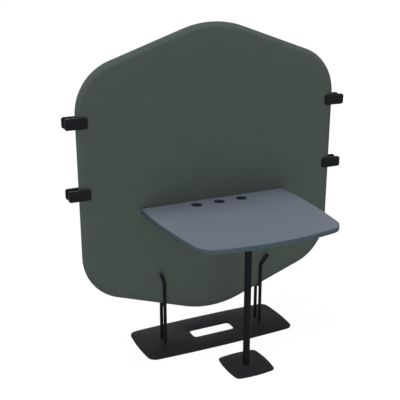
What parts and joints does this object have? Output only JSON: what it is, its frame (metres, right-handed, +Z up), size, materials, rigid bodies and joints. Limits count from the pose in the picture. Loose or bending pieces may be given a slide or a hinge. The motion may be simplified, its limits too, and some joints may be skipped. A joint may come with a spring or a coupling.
{
  "type": "desk with privacy screen",
  "caption": "Freestanding padded privacy screen on a slotted steel base, carrying a bow-fronted desktop with a slim front leg, and linking clamps on the screen's edges.",
  "frame": {"origin": "on the floor, at the centre of the object's bounding box in X and Y", "axes": "+Z up, +X to the right of a person at the desk, +Y away from that person, from the desktop's front edge towards the back of the screen"},
  "size_m": [1.449, 0.8166, 1.5758],
  "materials": {
    "fabric": "matt grey-green wool felt over foam",
    "plywood": "raw birch plywood",
    "acoustic_felt": "pressed grey fibre felt",
    "laminate": "blue-grey melamine on chipboard, edges banded in the same colour",
    "slate_plastic": "matt slate plastic",
    "black_steel": "fine-textured matt black powder coat",
    "black_nylon": "matt black moulded nylon",
    "black_felt": "black needle felt",
    "zinc_steel": "bright zinc plate",
    "brass": "turned brass"
  },
  "bodies": {
    "desk_and_screen": {"front_cover": "fabric", "rear_cover": "fabric", "screen_frame": "plywood", "upper_acoustic_core": "acoustic_felt", "lower_acoustic_core": "acoustic_felt", "base_felt": "black_felt", "base_plate": "black_steel", "rod_front_left": "black_steel", "rod_front_right": "black_steel", "rod_rear_left": "black_steel", "rod_rear_right": "black_steel", "rod_screw_front_left": "zinc_steel", "rod_screw_front_right": "zinc_steel", "rod_screw_rear_left": "zinc_steel", "rod_screw_rear_right": "zinc_steel", "cross_bar_left": "black_steel", "cross_bar_right": "black_steel", "desktop": "laminate", "cable_sleeve_left": "slate_plastic", "cable_sleeve_centre": "slate_plastic", "cable_sleeve_right": "slate_plastic", "desk_bracket_left": "black_steel", "desk_bracket_right": "black_steel", "bracket_wall_screw_left_outer": "zinc_steel", "bracket_wall_screw_left_inner": "zinc_steel", "bracket_wall_screw_right_outer": "zinc_steel", "bracket_wall_screw_right_inner": "zinc_steel", "bracket_top_screw_left_outer": "zinc_steel", "bracket_top_screw_left_inner": "zinc_steel", "bracket_top_screw_right_outer": "zinc_steel", "bracket_top_screw_right_inner": "zinc_steel", "foot_felt": "black_felt", "foot_plate": "black_steel", "foot_screw": "zinc_steel", "leg_plug": "zinc_steel", "leg_tube": "black_steel", "leg_flange": "black_steel", "flange_screw_1": "zinc_steel", "flange_screw_2": "zinc_steel", "flange_screw_3": "zinc_steel", "flange_screw_4": "zinc_steel", "clamp_front_jaw_upper_left": "black_nylon", "clamp_front_jaw_upper_right": "black_nylon", "clamp_front_jaw_lower_left": "black_nylon", "clamp_front_jaw_lower_right": "black_nylon", "clamp_insert_upper_left": "brass", "clamp_insert_upper_right": "brass", "clamp_insert_lower_left": "brass", "clamp_insert_lower_right": "brass"},
    "rear_jaw_upper_left": {"clamp_rear_jaw_upper_left": "black_nylon"},
    "rear_jaw_upper_right": {"clamp_rear_jaw_upper_right": "black_nylon"},
    "rear_jaw_lower_left": {"clamp_rear_jaw_lower_left": "black_nylon"},
    "rear_jaw_lower_right": {"clamp_rear_jaw_lower_right": "black_nylon"},
    "screw_upper_left": {"clamp_screw_upper_left": "zinc_steel"},
    "screw_upper_right": {"clamp_screw_upper_right": "zinc_steel"},
    "screw_lower_left": {"clamp_screw_lower_left": "zinc_steel"},
    "screw_lower_right": {"clamp_screw_lower_right": "zinc_steel"}
  },
  "joints": [
    {"name": "jaw_opening_upper_left", "type": "slide", "parent": "desk_and_screen", "child": "rear_jaw_upper_left", "axis": [0, 1, 0], "range_m": [0, 0.006]},
    {"name": "screw_turn_upper_left", "type": "hinge", "parent": "rear_jaw_upper_left", "child": "screw_upper_left", "pos_m": [-0.6763, 0.26, 1.168], "axis": [0, 1, 0], "range_deg": [0, 2160]},
    {"name": "jaw_opening_upper_right", "type": "slide", "parent": "desk_and_screen", "child": "rear_jaw_upper_right", "axis": [0, 1, 0], "range_m": [0, 0.006]},
    {"name": "screw_turn_upper_right", "type": "hinge", "parent": "rear_jaw_upper_right", "child": "screw_upper_right", "pos_m": [0.6763, 0.26, 1.168], "axis": [0, 1, 0], "range_deg": [0, 2160]},
    {"name": "jaw_opening_lower_left", "type": "slide", "parent": "desk_and_screen", "child": "rear_jaw_lower_left", "axis": [0, 1, 0], "range_m": [0, 0.006]},
    {"name": "screw_turn_lower_left", "type": "hinge", "parent": "rear_jaw_lower_left", "child": "screw_lower_left", "pos_m": [-0.6763, 0.26, 0.84], "axis": [0, 1, 0], "range_deg": [0, 2160]},
    {"name": "jaw_opening_lower_right", "type": "slide", "parent": "desk_and_screen", "child": "rear_jaw_lower_right", "axis": [0, 1, 0], "range_m": [0, 0.006]},
    {"name": "screw_turn_lower_right", "type": "hinge", "parent": "rear_jaw_lower_right", "child": "screw_lower_right", "pos_m": [0.6763, 0.26, 0.84], "axis": [0, 1, 0], "range_deg": [0, 2160]}
  ],
  "couplings": [
    {"joint": "screw_turn_upper_left", "follows": "jaw_opening_upper_left", "rad_per_m": 6283.1},
    {"joint": "screw_turn_upper_right", "follows": "jaw_opening_upper_right", "rad_per_m": 6283.1},
    {"joint": "screw_turn_lower_left", "follows": "jaw_opening_lower_left", "rad_per_m": 6283.1},
    {"joint": "screw_turn_lower_right", "follows": "jaw_opening_lower_right", "rad_per_m": 6283.1}
  ]
}
